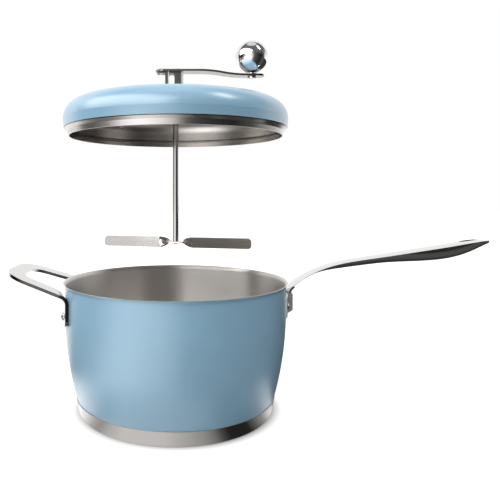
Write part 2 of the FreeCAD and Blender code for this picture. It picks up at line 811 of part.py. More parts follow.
def grip_places():
    """Place along X of each of the grip's sections, added up from the wall."""
    places, place = {}, WALL_RADIUS
    for station in GRIP_STATIONS:
        place = place + S[f"{station}_step"]
        places[station] = place
    return places


NECK_START = WALL_RADIUS + S.neck_stand
CHANNEL_INNER = NECK_START + S.neck_thickness + S.fixed_gap
CHANNEL_OUTER = CHANNEL_INNER + S.bracket_sheet
GRIP_PLACES = grip_places()
HANDLE_END = GRIP_PLACES["tip"] - S.grip_trim


def handle_bracket():
    """Curved plate on the wall with a channel that takes the neck of the long handle."""
    body = new_body("handle_bracket")
    wings = [(WALL_RADIUS, BRACKET_BOTTOM), (BRACKET_FACE, BRACKET_BOTTOM),
             (BRACKET_FACE, BRACKET_TOP), (WALL_RADIUS, BRACKET_TOP)]
    revolve(body, wings, angle=2 * S.bracket_half_angle)
    half = S.neck_width / 2 + S.neck_gap
    outer = half + S.bracket_sheet
    back = BRACKET_FACE - S.bracket_sheet / 2
    channel = [(back, -outer), (CHANNEL_OUTER, -outer), (CHANNEL_OUTER, outer), (back, outer),
               (back, half), (CHANNEL_INNER, half), (CHANNEL_INNER, -half), (back, -half)]
    pad(body, "XY_Plane", S.bracket_height,
        lambda sketch: outline(sketch, channel, rounds={1: S.bracket_sheet, 2: S.bracket_sheet}),
        offset=BRACKET_BOTTOM)
    chin = [(BRACKET_FACE + S.neck_gap, BRACKET_BOTTOM), (CHANNEL_OUTER, BRACKET_BOTTOM - S.bracket_chin),
            (CHANNEL_OUTER + S.bracket_sheet, BRACKET_BOTTOM - S.bracket_chin),
            (CHANNEL_OUTER + S.bracket_sheet, BRACKET_BOTTOM + S.bracket_chin),
            (CHANNEL_OUTER, BRACKET_BOTTOM + S.bracket_chin)]
    pocket(body, "XZ_Plane", 2 * S.neck_width, lambda sketch: outline(sketch, chin))
    hole = S.bracket_rivet_radius + S.fixed_gap
    for side in (LEFT, RIGHT):
        radial_drill(body, hole, BRACKET_MIDDLE, side * S.bracket_rivet_azimuth, CHANNEL_OUTER)
    pin = S.handle_pin_radius + S.fixed_gap
    radial_drill(body, pin, BRACKET_MIDDLE, dim(0), CHANNEL_OUTER + S.bracket_sheet)
    return body


def bracket_rivets():
    one = rivet("bracket_rivet", S.bracket_rivet_radius, S.bracket_rivet_head_radius,
                S.bracket_rivet_head_height, BRACKET_FACE, S.wall_bore_radius - S.seat_allowance,
                BRACKET_MIDDLE, S.bracket_rivet_azimuth)
    return mirrored_pair("bracket_rivets", one)


def handle_pin():
    """Riveted pin through the channel, the neck and the bracket's plate."""
    body = new_body("handle_pin")
    head = 2 * S.handle_pin_radius
    points = [(WALL_RADIUS + S.seat_allowance, dim(0)), (CHANNEL_OUTER + S.handle_pin_radius / 2, dim(0)),
              (CHANNEL_OUTER + S.handle_pin_radius / 2, head / 2), (CHANNEL_OUTER, head),
              (CHANNEL_OUTER, S.handle_pin_radius), (WALL_RADIUS + S.seat_allowance, S.handle_pin_radius)]
    revolve(body, points, axis="H_Axis")
    bind(body, "Placement.Base.z", BRACKET_MIDDLE)
    return body


def handle_neck(body):
    """The neck: a strap that stands in the bracket's channel and bends over into the grip."""
    bend = S.neck_bend_radius
    inner_bend = bend - S.neck_thickness
    bend_x = NECK_START + bend
    bend_z = S.pot_height - S.neck_bend_drop
    slope = S.neck_slope
    neck_outer = NECK_START + S.neck_thickness
    over = (bend_x - bend * sine(slope), bend_z + bend * cosine(slope))
    under = (bend_x - inner_bend * sine(slope), bend_z + inner_bend * cosine(slope))
    lap_x, lap_z = S.neck_lap * cosine(slope), S.neck_lap * sine(slope)
    points = [
        (NECK_START, S.pot_height - S.neck_foot_drop),
        (neck_outer, S.pot_height - S.neck_foot_drop),
        (neck_outer, bend_z),
        under,
        (under[0] + lap_x, under[1] + lap_z),
        (over[0] + lap_x, over[1] + lap_z),
        over,
        (NECK_START, bend_z),
    ]
    pad(body, "XZ_Plane", S.neck_width,
        lambda sketch: outline(sketch, points, {2: (RIGHT, inner_bend), 6: (LEFT, bend)}), midplane=True)


def grip_section(body, station, reach):
    """An upright section of the grip: a crowned top and a deeper belly that meet in a crisp edge."""
    rise, width, crown, depth = (S[f"{station}_{part}"] for part in ("rise", "width", "crown", "depth"))
    edge = S.pot_height + rise
    half = width / 2
    sketch = new_sketch(body, "YZ_Plane", reach)
    points = [(-half, edge), (dim(0), edge - depth), (half, edge), (dim(0), edge + crown)]
    belly = (half * half + depth * depth) / (2 * depth)
    top = (half * half + crown * crown) / (2 * crown)
    outline(sketch, points, {0: (LEFT, belly), 1: (LEFT, belly), 2: (LEFT, top), 3: (LEFT, top)})
    return sketch


def grip_plan():
    """The grip seen from above: its rounded end and the hanging slot, raised through its whole depth."""
    body = new_body("grip_plan")
    wide, nose, slot = S.neck_width, S.grip_nose_radius, S.slot_width / 2
    slot_end = HANDLE_END - S.slot_inset
    slot_start = slot_end - S.slot_length

    def draw(sketch):
        outline(sketch, [(WALL_RADIUS, -wide), (HANDLE_END - S.grip_taper_length, -wide),
                         (HANDLE_END, -S.grip_end_half), (HANDLE_END, S.grip_end_half),
                         (HANDLE_END - S.grip_taper_length, wide), (WALL_RADIUS, wide)],
                rounds={2: nose, 3: nose})
        outline(sketch, [(slot_start + slot, -slot), (slot_end - slot, -slot), (slot_end, dim(0)),
                         (slot_end - slot, slot), (slot_start + slot, slot), (slot_start, dim(0))],
                {1: (LEFT, slot), 2: (LEFT, slot), 4: (LEFT, slot), 5: (LEFT, slot)})

    pad(body, "XY_Plane", 2 * S.pot_height, draw)
    return body


def long_handle():
    """The long handle: a lofted grip on a bent neck, with a rounded end and a hanging slot."""
    body = new_body("grip_and_neck")
    handle_neck(body)
    sections = [grip_section(body, station, place) for station, place in GRIP_PLACES.items()]
    doc.recompute()
    grip = body.newObject("PartDesign::AdditiveLoft", "grip")
    grip.Profile = sections[0]
    grip.Sections = [(sketch, [""]) for sketch in sections[1:]]
    doc.recompute()
    pin = S.handle_pin_radius + S.fixed_gap
    radial_drill(body, pin, BRACKET_MIDDLE, dim(0), CHANNEL_OUTER + S.bracket_sheet)
    return boolean("Part::MultiCommon", "long_handle", [body, grip_plan()])


# ---------------------------------------------------------------- lid


def lid_shell():
    """One sheet: skirt inside the pan, 45 degree ledge, upright side, rounded shoulder and crown."""
    body = new_body("lid_shell")
    sheet = S.lid_sheet
    skirt_bottom = LEDGE_BOTTOM - S.skirt_length
    skirt_radius = LEDGE_INNER - S.skirt_taper
    miter = math.tan(math.radians(22.5))      # corner of an upright and a 45 degree side
    points = [
        (dim(0), CROWN_INSIDE),
        (S.crown_seat_radius, CROWN_INSIDE),
        (CROWN_EDGE, SHOULDER_TOP - sheet),
        (LID_SIDE_RADIUS - sheet, SHOULDER_START),
        (LEDGE_OUTER - sheet, LEDGE_TOP + sheet * miter),
        (LEDGE_INNER - sheet, LEDGE_BOTTOM + sheet * miter),
        (skirt_radius - sheet, skirt_bottom),
        (skirt_radius, skirt_bottom),
        (LEDGE_INNER, LEDGE_BOTTOM),
        (LEDGE_OUTER, LEDGE_TOP),
        (LID_SIDE_RADIUS, SHOULDER_START),
        (CROWN_EDGE, SHOULDER_TOP),
        (S.crown_seat_radius, CROWN_TOP),
        (dim(0), CROWN_TOP),
    ]
    arcs = {
        1: (RIGHT, CROWN_RADIUS),
        2: (RIGHT, S.shoulder_radius - sheet),
        10: (LEFT, S.shoulder_radius),
        11: (LEFT, CROWN_RADIUS),
    }
    bend = S.skirt_bend_radius
    revolve(body, points, arcs, rounds={5: bend + sheet, 8: bend})
    drill(body, S.bush_barrel_radius + S.fixed_gap, 2 * S.crown_rise + sheet,
          (dim(0), dim(0), CROWN_INSIDE - S.crown_rise))
    return lift(body)


def lid_bush():
    """Flanged bush: its flange lies under the crown and its barrel stands up through it."""
    body = new_body("lid_bush")
    revolve(body, [(BUSH_BORE, BUSH_BOTTOM), (S.bush_flange_radius, BUSH_BOTTOM),
                   (S.bush_flange_radius, CROWN_INSIDE), (S.bush_barrel_radius, CROWN_INSIDE),
                   (S.bush_barrel_radius, BUSH_TOP), (BUSH_BORE, BUSH_TOP)])
    return lift(body)


def bush_nut():
    """Hexagon nut that clamps the bush on the crown."""
    body = new_body("bush_nut")
    corner = S.bush_nut_width / math.sqrt(3)
    sides = 6
    angles = [dim(360 / sides * step) for step in range(sides)]
    points = [(corner * cosine(angle), corner * sine(angle)) for angle in angles]

    def draw(sketch):
        outline(sketch, points)
        circle(sketch, 0, 0, S.bush_barrel_radius + S.fixed_gap)

    pad(body, "XY_Plane", S.bush_nut_thickness, draw, offset=NUT_BOTTOM)
    return lift(body)


def bush_washer():
    washer = plane_disc("bush_washer", S.bush_barrel_radius + S.fixed_gap, S.bush_washer_radius,
                        CROWN_TOP, S.bush_washer_thickness)
    return lift(washer)


# ---------------------------------------------------------------- crank


def crank_shaft():
    """The rod from the hub to the blade, with a groove for the clip and holes for pin and rivet."""
    body = new_body("crank_shaft")
    groove = S.shaft_radius - S.clip_groove_depth
    clip_bottom = CLIP_TOP - S.clip_thickness
    revolve(body, [(dim(0), BLADE_TOP), (S.shaft_radius, BLADE_TOP), (S.shaft_radius, clip_bottom),
                   (groove, clip_bottom), (groove, CLIP_TOP), (S.shaft_radius, CLIP_TOP),
                   (S.shaft_radius, SHAFT_TOP), (dim(0), SHAFT_TOP)])
    drill(body, S.blade_rivet_radius + S.fixed_gap, S.blade_rivet_depth, (dim(0), dim(0), BLADE_TOP))
    drill(body, S.hub_pin_radius + S.fixed_gap, 4 * S.shaft_radius,
          (dim(0), PIN_AXIS, -2 * S.shaft_radius), "XZ_Plane")
    return lift(body)


def retaining_clip():
    """Open spring clip in the shaft's groove, just under the bush."""
    body = new_body("retaining_clip")
    groove = S.shaft_radius - S.clip_groove_depth + S.fixed_gap
    clip_bottom = CLIP_TOP - S.clip_thickness
    revolve(body, [(groove, clip_bottom), (S.clip_radius, clip_bottom), (S.clip_radius, CLIP_TOP),
                   (groove, CLIP_TOP)])
    mouth = body.newObject("PartDesign::SubtractiveBox", "clip_mouth")
    mouth.AttachmentSupport = [(origin_plane(body, "XY_Plane"), "")]
    mouth.MapMode = "FlatFace"
    bind(mouth, "Length", 2 * S.clip_radius)
    bind(mouth, "Width", S.clip_mouth)
    bind(mouth, "Height", 3 * S.clip_thickness)
    bind(mouth, "AttachmentOffset.Base.y", -S.clip_mouth / 2)
    bind(mouth, "AttachmentOffset.Base.z", clip_bottom - S.clip_thickness)
    return lift(body)


def crank_hub():
    """Cast arch on a round boss: two legs and a web, with a window between the legs."""
    body = new_body("crank_hub")
    window_left = S.hub_thin_leg - S.hub_left
    window_right = window_left + S.hub_window_width
    arch = S.hub_window_width / 2
    arch_start = HUB_TOP - S.hub_web - arch
    bar_bottom = HUB_SPRING - S.hub_bar_thickness
    ear_end = S.hub_left + S.hub_ear_length
    ear_bottom = HUB_TOP - S.hub_ear_thickness

    def draw(sketch):
        outline(sketch, [(-S.hub_left, bar_bottom), (S.hub_right, bar_bottom),
                         (S.hub_right, HUB_TOP), (-ear_end, HUB_TOP),
                         (-ear_end, ear_bottom), (-S.hub_left, ear_bottom)])
        outline(sketch, [(window_left, HUB_SPRING), (window_right, HUB_SPRING), (window_right, arch_start),
                         (window_left + arch, arch_start + arch), (window_left, arch_start)],
                {2: (LEFT, arch), 3: (LEFT, arch)})

    pad(body, "XZ_Plane", S.hub_depth, draw, midplane=True)
    boss = body.newObject("PartDesign::AdditiveCylinder", "hub_boss")
    boss.AttachmentSupport = [(origin_plane(body, "XY_Plane"), "")]
    boss.MapMode = "FlatFace"
    bind(boss, "AttachmentOffset.Base.z", HUB_BOTTOM)
    bind(boss, "Radius", S.hub_boss_radius)
    bind(boss, "Height", S.hub_boss_height)
    drill(body, S.shaft_radius + S.fixed_gap, S.shaft_engagement + S.fixed_gap, (dim(0), dim(0), HUB_BOTTOM))
    drill(body, S.hub_pin_radius + S.fixed_gap, 4 * S.hub_boss_radius,
          (dim(0), PIN_AXIS, -2 * S.hub_boss_radius), "XZ_Plane")
    for place, depth in ARM_RIVETS:
        drill(body, S.arm_rivet_radius + S.fixed_gap, depth, (place, dim(0), HUB_TOP - depth))
    return lift(body)


def hub_pin():
    body = new_body("hub_pin")
    pad(body, "XZ_Plane", 2 * S.hub_boss_radius - S.end_play,
        lambda sketch: circle(sketch, 0, PIN_AXIS, S.hub_pin_radius), midplane=True)
    return lift(body)


def crank_arm():
    """Flat strap with a gentle joggle, wide and round-ended over the hub, narrow at the knob."""
    thick, drop, start = S.arm_thickness, S.joggle_drop, S.joggle_start
    end = start + S.joggle_length
    bend = (S.joggle_length * S.joggle_length + drop * drop) / (4 * drop)
    lean = S.joggle_length / 2 / bend
    plumb = (bend - drop / 2) / bend
    middle = (start + end) / 2
    middle_top = ARM_TOP - drop / 2
    tip = S.crank_radius + S.arm_end_overhang + S.arm_end_width / 2
    side = new_body("arm_side")
    points = [
        (-S.arm_tail - thick, HUB_TOP),
        (start, HUB_TOP),
        (middle - thick * lean, middle_top - thick * plumb),
        (end, ARM_END_TOP - thick),
        (tip + thick, ARM_END_TOP - thick),
        (tip + thick, ARM_END_TOP),
        (end, ARM_END_TOP),
        (middle, middle_top),
        (start, ARM_TOP),
        (-S.arm_tail - thick, ARM_TOP),
    ]
    arcs = {1: (RIGHT, bend - thick), 2: (LEFT, bend + thick), 6: (RIGHT, bend), 7: (LEFT, bend)}
    pad(side, "XZ_Plane", 2 * S.arm_width, lambda sketch: outline(sketch, points, arcs), midplane=True)
    plan = new_body("arm_plan")
    wide, narrow = S.arm_width / 2, S.arm_end_width / 2
    round_x, end_x = wide - S.arm_tail, tip - narrow
    shape = [(round_x, -wide), (start, -wide), (end_x, -narrow), (tip, dim(0)), (end_x, narrow),
             (start, wide), (round_x, wide), (-S.arm_tail, dim(0))]
    turns = {2: (LEFT, narrow), 3: (LEFT, narrow), 6: (LEFT, wide), 7: (LEFT, wide)}

    def draw(sketch):
        outline(sketch, shape, turns)
        circle(sketch, S.crank_radius, 0, S.knob_screw_radius + S.running_gap)
        for place, _ in ARM_RIVETS:
            circle(sketch, place, 0, S.arm_rivet_radius + S.fixed_gap)

    pad(plan, "XY_Plane", 2 * ARM_TOP, draw)
    return lift(boolean("Part::MultiCommon", "crank_arm", [side, plan]))


def headed_pin(label, radius, depth, head_radius, head_height, seat, place=None):
    """An upright pin below its seat, with a domed head above it."""
    body = new_body(label)
    dome = (head_radius * head_radius + head_height * head_height) / (2 * head_height)
    revolve(body, [(dim(0), seat - depth), (radius, seat - depth), (radius, seat), (head_radius, seat),
                   (dim(0), seat + head_height)], {3: (LEFT, dome)})
    if place is not None:
        bind(body, "Placement.Base.x", place)
    return body


def arm_rivets():
    rivets = [headed_pin(f"arm_rivet_{number}", S.arm_rivet_radius,
                         S.arm_thickness + depth, S.arm_rivet_head_radius,
                         S.arm_rivet_head_height, ARM_TOP, place)
              for number, (place, depth) in enumerate(ARM_RIVETS)]
    pair = doc.addObject("Part::Compound", "arm_rivets")
    pair.Label = "arm_rivets"
    pair.Links = rivets
    return lift(pair)


def thrust_washer():
    return lift(plane_disc("thrust_washer", S.shaft_radius + S.fixed_gap, S.thrust_washer_radius,
                           THRUST_BOTTOM, S.thrust_washer_thickness))


def knob_washer():
    washer = plane_disc("knob_washer", S.knob_screw_radius + S.running_gap, S.knob_washer_radius,
                        ARM_END_TOP, S.knob_washer_thickness)
    bind(washer, "Placement.Base.x", S.crank_radius)
    return lift(washer)


def stirrer_blade():
    """A strap flat in the middle, twisted through 90 degrees on both sides into upright paddles."""
    body = new_body("stirrer_blade")
    half_width, half_thick = S.blade_width / 2, S.blade_thickness / 2
    flat, twist_end = S.blade_flat_half, S.blade_flat_half + S.blade_twist_length

    def middle(sketch):
        outline(sketch, [(-flat, -half_width), (flat, -half_width), (flat, half_width), (-flat, half_width)])
        circle(sketch, 0, 0, S.blade_rivet_radius + S.fixed_gap)

    plate = pad(body, "XY_Plane", S.blade_thickness, middle, offset=BLADE_BOTTOM)
    plate.Label = "blade_middle"
    steps = 6
    sections = []
    for step in range(steps + 1):
        sketch = new_sketch(body, "YZ_Plane", flat + S.blade_twist_length * step / steps)
        bind(sketch, "AttachmentOffset.Base.y", BLADE_MIDDLE)
        turn_sketch(sketch, VECTOR(0, 0, 1), -S.blade_twist * step / steps)
        outline(sketch, [(-half_width, -half_thick), (half_width, -half_thick),
                         (half_width, half_thick), (-half_width, half_thick)])
        sections.append(sketch)
    doc.recompute()
    twist = body.newObject("PartDesign::AdditiveLoft", "blade_twist")
    twist.Profile = sections[0]
    twist.Sections = [(sketch, [""]) for sketch in sections[1:]]
    corner = S.blade_corner
    sketch = new_sketch(body, "XZ_Plane")
    bind(sketch, "AttachmentOffset.Base.y", BLADE_MIDDLE)
    turn_sketch(sketch, VECTOR(1, 0, 0), 90 - S.blade_twist)
    outline(sketch, [(twist_end, -half_width), (S.blade_radius, -half_width),
                     (S.blade_radius, half_width), (twist_end, half_width)], rounds={1: corner, 2: corner})
    paddle = body.newObject("PartDesign::Pad", "blade_paddle")
    paddle.Profile = sketch
    paddle.Midplane = True
    bind(paddle, "Length", S.blade_thickness)
    both = body.newObject("PartDesign::PolarPattern", "both_paddles")
    both.Originals = [twist, paddle]
    both.Axis = (origin_axis(body), [""])
    both.Angle = 360
    both.Occurrences = 2
    body.Tip = both
    body.Placement = FreeCAD.Placement(VECTOR(0, 0, 0), FreeCAD.Rotation(VECTOR(0, 0, 1), 1))
    bind(body, "Placement.Rotation.Angle", -S.blade_azimuth)
    return lift(body)


def origin_axis(body):
    return next(feature for feature in body.Origin.OriginFeatures if feature.Role == "Z_Axis")


def blade_rivet():
    """The rivet that holds the blade on the end of the shaft, its head underneath."""
    body = new_body("blade_rivet")
    radius, head, height = S.blade_rivet_radius, S.blade_rivet_head_radius, S.blade_rivet_head_height
    dome = (head * head + height * height) / (2 * height)
    top = BLADE_TOP + S.blade_rivet_depth - S.end_play
    revolve(body, [(dim(0), BLADE_BOTTOM - height), (head, BLADE_BOTTOM), (radius, BLADE_BOTTOM),
                   (radius, top), (dim(0), top)], {0: (LEFT, dome)})
    return lift(body)


# ---------------------------------------------------------------- knob


def knob_ball():
    """The ball, bored from below for the screw that it turns with, with a flat where it meets the washer."""
    body = new_body("knob_ball")
    flat = S.knob_flat_radius
    radius = S.knob_radius
    drop = root(radius * radius - flat * flat)
    bore = S.knob_screw_radius + S.fixed_gap
    bottom = KNOB_CENTRE - drop
    bore_top = bottom + S.knob_screw_depth
    points = [(bore, bottom), (flat, bottom), (radius, KNOB_CENTRE), (dim(0), KNOB_CENTRE + radius),
              (dim(0), bore_top), (bore, bore_top)]
    revolve(body, points, {1: (LEFT, radius), 2: (LEFT, radius)})
    bind(body, "Placement.Base.x", S.crank_radius)
    return lift(body)


def knob_screw():
    """Screw up through the arm into the ball, its head under the arm."""
    body = new_body("knob_screw")
    bottom = KNOB_CENTRE - root(S.knob_radius * S.knob_radius - S.knob_flat_radius * S.knob_flat_radius)
    top = bottom + S.knob_screw_depth - S.end_play
    head_bottom = KNOB_HEAD_TOP - S.knob_head_height
    revolve(body, [(dim(0), head_bottom), (S.knob_head_radius, head_bottom),
                   (S.knob_head_radius, KNOB_HEAD_TOP), (S.knob_screw_radius, KNOB_HEAD_TOP),
                   (S.knob_screw_radius, top), (dim(0), top)])
    bind(body, "Placement.Base.x", S.crank_radius)
    return lift(body)


PIECES = [
    pot_shell, base_core, base_cap, helper_handle, helper_rivets, handle_bracket, bracket_rivets,
    long_handle, handle_pin, lid_shell, lid_bush, bush_washer, bush_nut, crank_shaft, retaining_clip,
    crank_hub, hub_pin, crank_arm, arm_rivets, thrust_washer, knob_washer, stirrer_blade, blade_rivet,
    knob_ball, knob_screw,
]


def main():
    pieces = [make() for make in PIECES]
    doc.recompute()
    for thing in doc.Objects:
        failed = {"Invalid", "Error"} & set(thing.State)
        if failed:
            raise RuntimeError(f"{thing.Label}: {failed}")
    for piece in pieces:
        if piece.Shape.isNull() or not piece.Shape.isValid():
            raise RuntimeError(f"{piece.Label}: no valid shape")
    os.makedirs("parts", exist_ok=True)
    for piece in pieces:
        piece.Shape.exportStep(f"parts/{piece.Label}.step")
        box = piece.Shape.BoundBox
        print(f"{piece.Label:18s} solids {len(piece.Shape.Solids)}  volume {piece.Shape.Volume:10.1f}  "
              f"x {box.XMin:7.1f} {box.XMax:7.1f}  y {box.YMin:7.1f} {box.YMax:7.1f}  "
              f"z {box.ZMin:7.1f} {box.ZMax:7.1f}")


main()
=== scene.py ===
"""Looks of the stovetop popcorn popper: finishes, floor, studio light and camera.

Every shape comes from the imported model. This script gives each node its finish and sets the stage.
Metres, in the model's own frame: the origin is the centre of the base's underside, +X runs along
the long handle, +Z is up, and the camera looks along +Y.
"""

import math

import bpy
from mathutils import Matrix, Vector


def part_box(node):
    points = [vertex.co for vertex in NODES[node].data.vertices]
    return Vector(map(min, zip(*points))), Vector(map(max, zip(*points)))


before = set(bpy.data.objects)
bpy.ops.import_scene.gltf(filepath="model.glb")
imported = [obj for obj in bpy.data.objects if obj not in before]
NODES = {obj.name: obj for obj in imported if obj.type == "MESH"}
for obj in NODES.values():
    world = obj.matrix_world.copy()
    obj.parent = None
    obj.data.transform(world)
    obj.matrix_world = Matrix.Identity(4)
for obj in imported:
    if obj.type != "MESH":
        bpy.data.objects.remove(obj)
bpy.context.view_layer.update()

RIM_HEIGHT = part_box("pot_shell")[1].z
CAP_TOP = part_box("base_cap")[1].z
LID_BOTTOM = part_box("lid_shell")[0].z

# ---------------------------------------------------------------- camera

IMAGE_SIDE = 500                # pixels
SENSOR = 36.0                   # mm
FOCAL_PIXELS = 533.0
CAMERA_DISTANCE = 0.533         # from the pan's axis
CAMERA_ABOVE_RIM = 0.085
CAMERA_X = 0.004
PRINCIPAL_COLUMN = 179.7        # pixel column and row that the level camera looks straight at
PRINCIPAL_ROW = 194.5


def make_camera():
    """Level camera that looks along +Y; the lens shift frames the popper."""
    data = bpy.data.cameras.new("camera")
    data.sensor_width = SENSOR
    data.lens = FOCAL_PIXELS * SENSOR / IMAGE_SIDE
    data.shift_x = (IMAGE_SIDE / 2 - PRINCIPAL_COLUMN) / IMAGE_SIDE
    data.shift_y = (PRINCIPAL_ROW - IMAGE_SIDE / 2) / IMAGE_SIDE
    camera = bpy.data.objects.new("camera", data)
    camera.location = (CAMERA_X, -CAMERA_DISTANCE, RIM_HEIGHT + CAMERA_ABOVE_RIM)
    camera.rotation_euler = (math.radians(90), 0, 0)
    bpy.context.scene.collection.objects.link(camera)
    bpy.context.scene.camera = camera


# ---------------------------------------------------------------- node tools


class Graph:
    """A material's node tree, with short ways to add nodes and links."""

    def __init__(self, tree):
        self.tree = tree
        tree.nodes.clear()

    def add(self, kind, settings=None, **inputs):
        """A node. Its inputs are values, or outputs of other nodes to link.

        An input goes by its name, with _ for a space, or by n and its number.
        """
        node = self.tree.nodes.new(kind)
        for name, value in (settings or {}).items():
            setattr(node, name, value)
        for name, value in inputs.items():
            numbered = name[0] == "n" and name[1:].isdigit()
            socket = node.inputs[int(name[1:]) if numbered else name.replace("_", " ")]
            if isinstance(value, bpy.types.NodeSocket):
                self.tree.links.new(value, socket)
            else:
                socket.default_value = value
        return node

    def math(self, operation, first, second=0.0):
        """The result of an operation on numbers."""
        node = self.add("ShaderNodeMath", {"operation": operation}, n0=first, n1=second)
        return node.outputs[0]

    def vector(self, operation, first, second=(0, 0, 0)):
        """The result of an operation on vectors, which is a number for some."""
        node = self.add("ShaderNodeVectorMath", {"operation": operation}, n0=first, n1=second)
        return node.outputs["Value" if operation in ("DOT_PRODUCT", "LENGTH") else "Vector"]

    def split(self, vector):
        """A vector's parts, by the names X, Y and Z."""
        return self.add("ShaderNodeSeparateXYZ", Vector=vector).outputs

    def blend(self, factor, first, second):
        """Colour between first and second."""
        node = self.add("ShaderNodeMix", {"data_type": "RGBA"}, n0=factor, n6=first, n7=second)
        return node.outputs[2]

    def layer(self, factor, first, second):
        """Shader between first and second."""
        return self.add("ShaderNodeMixShader", n0=factor, n1=first, n2=second).outputs[0]

    def between(self, factor, low, high):
        """Number between low and high as factor goes from 0 to 1."""
        node = self.add("ShaderNodeMapRange", n0=factor, n1=0.0, n2=1.0, n3=low, n4=high)
        return node.outputs[0]

    def step(self, value, start, end):
        """0 below start and 1 above end, smooth in between."""
        node = self.add("ShaderNodeMapRange", {"interpolation_type": "SMOOTHSTEP"},
                        n0=value, n1=start, n2=end, n3=0.0, n4=1.0)
        return node.outputs[0]

    def band(self, value, start, end, edge):
        """1 between start and end and 0 outside, over soft edges."""
        rise = self.step(value, start - edge, start + edge)
        fall = self.step(value, end + edge, end - edge)
        return self.math("MULTIPLY", rise, fall)

    def noise(self, vector, scale, detail, roughness):
        """Noise around 0.5, with scale cells to the metre."""
        node = self.add("ShaderNodeTexNoise", Vector=vector, Scale=scale, Detail=detail,
                        Roughness=roughness)
        return node.outputs["Fac"]

    def bump(self, height, distance, strength):
        """Surface direction for a height from 0 to 1 that stands for 0 to distance."""
        node = self.add("ShaderNodeBump", Height=height, Distance=distance, Strength=strength)
        return node.outputs["Normal"]

    def ring(self, vector, stops):
        """Level by azimuth, from stops that are pairs of degrees and level.

        Degrees count round from the camera's side, positive to the right.
        """
        parts = self.split(vector)
        azimuth = self.math("ARCTAN2", parts["X"], self.math("MULTIPLY", parts["Y"], -1.0))
        turn = self.math("ADD", self.math("DIVIDE", azimuth, math.tau), 0.5)
        ramp = self.add("ShaderNodeValToRGB", Fac=turn)
        elements = ramp.color_ramp.elements
        while len(elements) < len(stops):
            elements.new(0.5)
        for element, (degrees, level) in zip(elements, stops):
            element.position = degrees / 360 + 0.5
            element.color = (level, level, level, 1)
        return ramp.outputs["Color"]


def new_material(name):
    """A material and its empty graph."""
    material = bpy.data.materials.new(name)
    material.use_nodes = True
    return material, Graph(material.node_tree)


def finish_material(graph, surface):
    """Show a shader on the surface."""
    graph.add("ShaderNodeOutputMaterial", Surface=surface)


def place(graph):
    """Position in the model's frame, before any joint moves."""
    return graph.add("ShaderNodeTexCoord").outputs["Object"]


def normal(graph):
    """Which way the face looks in the model's frame, before any joint moves."""
    return graph.add("ShaderNodeVectorTransform",
                     {"vector_type": "NORMAL", "convert_from": "WORLD", "convert_to": "OBJECT"},
                     Vector=graph.add("ShaderNodeNewGeometry").outputs["True Normal"]).outputs[0]


def level_part(graph, vector):
    """A vector without its Z."""
    parts = graph.split(vector)
    return graph.add("ShaderNodeCombineXYZ", X=parts["X"], Y=parts["Y"]).outputs[0]


def stretched(graph, position, scale):
    """Position scaled unevenly, so that noise on it runs in streaks."""
    return graph.add("ShaderNodeMapping", Vector=position, Scale=scale).outputs[0]


def facing_out(graph, position):
    """How far the surface faces away from the vertical axis, from -1 to 1."""
    outwards = graph.vector("NORMALIZE", level_part(graph, position))
    return graph.vector("DOT_PRODUCT", outwards, normal(graph))


def shade(colour, share):
    """A colour made darker or lighter by a share."""
    return tuple(channel * share for channel in colour[:3]) + (1,)


# ---------------------------------------------------------------- finishes

# tones, as linear colours
PAINT = (0.262, 0.475, 0.638, 1)
STEEL = (0.62, 0.595, 0.57, 1)
POLISHED = (0.70, 0.69, 0.68, 1)
BRIGHT = (0.86, 0.845, 0.825, 1)
SATIN = (0.78, 0.765, 0.745, 1)
LIT_INNER = (0.74, 0.71, 0.68, 1)           # inside of pan and lid: a lighter copy of the steel tone, painted light
ARM = (0.40, 0.37, 0.335, 1)
CAST = (0.13, 0.125, 0.12, 1)
PAINTED_SHADE = (0.075, 0.072, 0.07, 1)          # painted shade: on the strap's faces that look along Y, and the dark line painted under the lid's paint
CHROME = (0.86, 0.86, 0.87, 1)

# noise: cells to the metre, detail and roughness
PAINT_CLOUD = (14.0, 3.0, 0.55)
ORANGE_PEEL = (900.0, 2.0, 0.55)
TURNED_CLOUD = (25.0, 3.0, 0.55)
TURNING = (2600.0, 4.0, 0.7)
STREAK_CLOUD = (30.0, 3.0, 0.55)
STREAKS = (60.0, 4.0, 0.65)
HAZE = (120.0, 4.0, 0.55)
UPRIGHT_GRAIN = (6, 6, 1)               # stretch of the cast hub's noise

# bumps: height in metres, and strength
PEEL_BUMP = (0.00002, 0.25)
TURNING_BUMP = (0.00002, 0.3)
STREAK_BUMP = (0.00001, 0.12)
CAST_BUMP = (0.00003, 0.5)

# share of the tone that the darkest marks keep
PAINT_DARK, PAINT_LIGHT = 0.97, 1.03
TURNED_DARK = 0.82
STREAK_DARK = 0.86
CAST_DARK = 0.7
CHROME_DARK = 0.92

# roughness: lowest and highest
PAINT_ROUGH = (0.34, 0.42)
TURNED_ROUGH = (0.22, 0.34)
INNER_ROUGH = (0.34, 0.42)
CAST_ROUGH = (0.22, 0.38)
CHROME_ROUGH = (0.015, 0.05)

QUARTER_TURN = 0.25                     # lays the stretched gloss across the turning marks
OUTWARD = (0.02, 0.06)                  # facing_out where inside gives way to outside
SKIRT_OUTWARD = (0.0, 0.1)              # the same for the bare parts of the lid
SHADED_FACE = (0.55, 0.75)                 # how far a face looks along Y to take the painted shade
PAINT_EDGE = 0.0001                     # half the height over which the paint ends
LEDGE_ABOVE_SKIRT = 0.0078              # from the lid's lower edge to where its paint ends
SHADE_LINE, SHADE_LINE_SOFT = 0.0007, 0.0002        # height of the line of painted shade below that, half its soft edge
HUB_CORNER_HIGHLIGHT = (0.0030, 0.0012)           # from the hub's right side to the painted highlight at its corner
HUB_LEG_EDGE = 0.0152                   # from the hub's right side to the window's left side
HUB_HIGHLIGHT_WIDTH, HUB_HIGHLIGHT_SOFT = 0.0010, 0.0003     # width of the painted highlight there, half its soft edge
